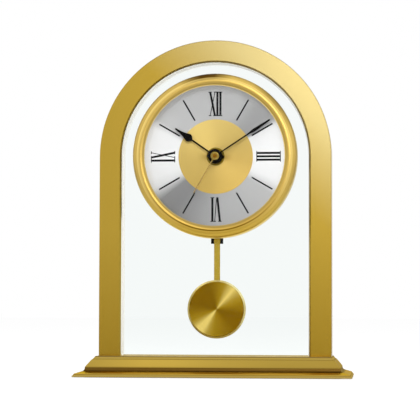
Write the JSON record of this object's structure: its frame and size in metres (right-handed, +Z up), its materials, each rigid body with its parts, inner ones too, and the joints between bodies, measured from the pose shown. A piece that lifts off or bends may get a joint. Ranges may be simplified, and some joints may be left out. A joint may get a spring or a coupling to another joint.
{
  "type": "desk pendulum clock",
  "caption": "Gold desk clock: an arched frame on a moulded base holds a clear pane with a round silver dial in front and a battery movement with a swinging pendulum behind",
  "frame": {"origin": "middle of the pad under the base, on the table", "axes": "+X to the right seen from the front, +Y to the back, +Z up"},
  "size_m": [0.186, 0.072, 0.2285],
  "materials": {
    "gilt_aluminium": "lacquered gold, brushed along the band",
    "gilt_polished": "polished and lacquered gold",
    "spun_gold": "spun in fine circles, lacquered gold",
    "rod_gold": "drawn strip, lacquered gold",
    "spun_silver": "spun in fine circles, clear lacquer",
    "black_paint": "satin black paint",
    "pan_white": "moulded, fine matt",
    "clear_glass": "clear float glass",
    "clear_lens": "clear mineral glass",
    "clear_rubber": "milky soft strip",
    "black_rubber": "matt black",
    "felt_pad": "black pressed felt",
    "cover_steel": "dark grey painted sheet",
    "screw_steel": "zinc plated",
    "bush_brass": "turned and threaded",
    "black_plastic": "moulded, fine spark texture",
    "white_plastic": "moulded gear plastic",
    "cream_plastic": "moulded gear plastic",
    "soft_iron": "stamped plate",
    "copper_wire": "enamelled copper winding",
    "board_green": "green solder mask",
    "crystal_can": "plated can",
    "contact_nickel": "nickel plated spring strip",
    "magnet_dark": "sintered magnet",
    "cell_wrap": "plain printed sleeve with a gold band"
  },
  "bodies": {
    "case": {"base_plinth": "gilt_aluminium", "base_cover": "cover_steel", "base_cover_screws": "screw_steel", "base_pad": "felt_pad", "arch_frame": "gilt_aluminium", "frame_screws": "screw_steel", "glass_pane": "clear_glass", "glazing_gasket": "clear_rubber", "dial_pan": "pan_white", "dial_plate": "spun_silver", "dial_centre": "spun_gold", "dial_washer": "gilt_polished", "fixing_nut": "black_paint", "lens": "clear_lens", "bezel": "gilt_polished", "rubber_washer": "black_rubber", "threaded_bush": "bush_brass", "movement_front": "black_plastic", "movement_case": "black_plastic", "stator": "soft_iron", "coil_core": "soft_iron", "motor_coil": "copper_wire", "circuit_board": "board_green", "quartz_crystal": "crystal_can", "contact_plate": "contact_nickel", "contact_leaf": "contact_nickel", "pendulum_coil": "copper_wire", "hanger_pin": "screw_steel"},
    "pendulum": {"pendulum_hanger": "black_plastic", "hanger_magnet": "magnet_dark", "rod_pin": "rod_gold", "pendulum_rod": "rod_gold", "pendulum_bob": "spun_gold", "bob_rivet": "rod_gold"},
    "minute_train": {"cannon_pinion": "cream_plastic", "minute_hand": "black_paint"},
    "hour_train": {"hour_wheel": "white_plastic", "hour_hand": "black_paint"},
    "motion_train": {"minute_wheel": "white_plastic"},
    "setting": {"setting_knob": "black_plastic"},
    "second_train": {"second_wheel": "cream_plastic", "second_hand": "gilt_polished"},
    "third_train": {"third_wheel": "white_plastic"},
    "centre_train": {"centre_wheel": "white_plastic"},
    "intermediate_train": {"intermediate_wheel": "white_plastic"},
    "rotor_train": {"rotor": "magnet_dark"},
    "cell": {"battery": "cell_wrap"}
  },
  "joints": [
    {"name": "pendulum_swing", "type": "hinge", "parent": "case", "child": "pendulum", "pos_m": [0, 0.00925, 0.1155], "axis": [0, 1, 0], "range_deg": [-8, 8]},
    {"name": "minute_turn", "type": "hinge", "parent": "case", "child": "minute_train", "pos_m": [0, 0, 0.1495], "axis": [0, 1, 0], "continuous": true},
    {"name": "hour_turn", "type": "hinge", "parent": "case", "child": "hour_train", "pos_m": [0, 0, 0.1495], "axis": [0, 1, 0], "continuous": true},
    {"name": "minute_wheel_turn", "type": "hinge", "parent": "case", "child": "motion_train", "pos_m": [-0.00831, 0, 0.1543], "axis": [0, 1, 0], "continuous": true},
    {"name": "setting_knob_turn", "type": "hinge", "parent": "case", "child": "setting", "pos_m": [-0.01759, 0, 0.15678], "axis": [0, 1, 0], "continuous": true},
    {"name": "second_turn", "type": "hinge", "parent": "case", "child": "second_train", "pos_m": [0, 0, 0.1495], "axis": [0, 1, 0], "continuous": true},
    {"name": "third_wheel_turn", "type": "hinge", "parent": "case", "child": "third_train", "pos_m": [0.00238, 0, 0.15837], "axis": [0, 1, 0], "continuous": true},
    {"name": "centre_wheel_turn", "type": "hinge", "parent": "case", "child": "centre_train", "pos_m": [0, 0, 0.1495], "axis": [0, 1, 0], "continuous": true},
    {"name": "intermediate_turn", "type": "hinge", "parent": "case", "child": "intermediate_train", "pos_m": [0.00945, 0, 0.1495], "axis": [0, 1, 0], "continuous": true},
    {"name": "rotor_turn", "type": "hinge", "parent": "case", "child": "rotor_train", "pos_m": [0.01497, 0, 0.15502], "axis": [0, 1, 0], "continuous": true},
    {"name": "battery_slide", "type": "slide", "parent": "case", "child": "cell", "axis": [0, 1, 0], "range_m": [0, 0.025]}
  ],
  "couplings": [
    {"joint": "hour_turn", "follows": "minute_turn", "ratio": 0.083333},
    {"joint": "minute_wheel_turn", "follows": "minute_turn", "ratio": -0.33333},
    {"joint": "setting_knob_turn", "follows": "minute_turn", "ratio": 1},
    {"joint": "third_wheel_turn", "follows": "second_turn", "ratio": -0.13333},
    {"joint": "centre_wheel_turn", "follows": "second_turn", "ratio": 0.016667},
    {"joint": "intermediate_turn", "follows": "second_turn", "ratio": -6},
    {"joint": "rotor_turn", "follows": "second_turn", "ratio": 30}
  ]
}
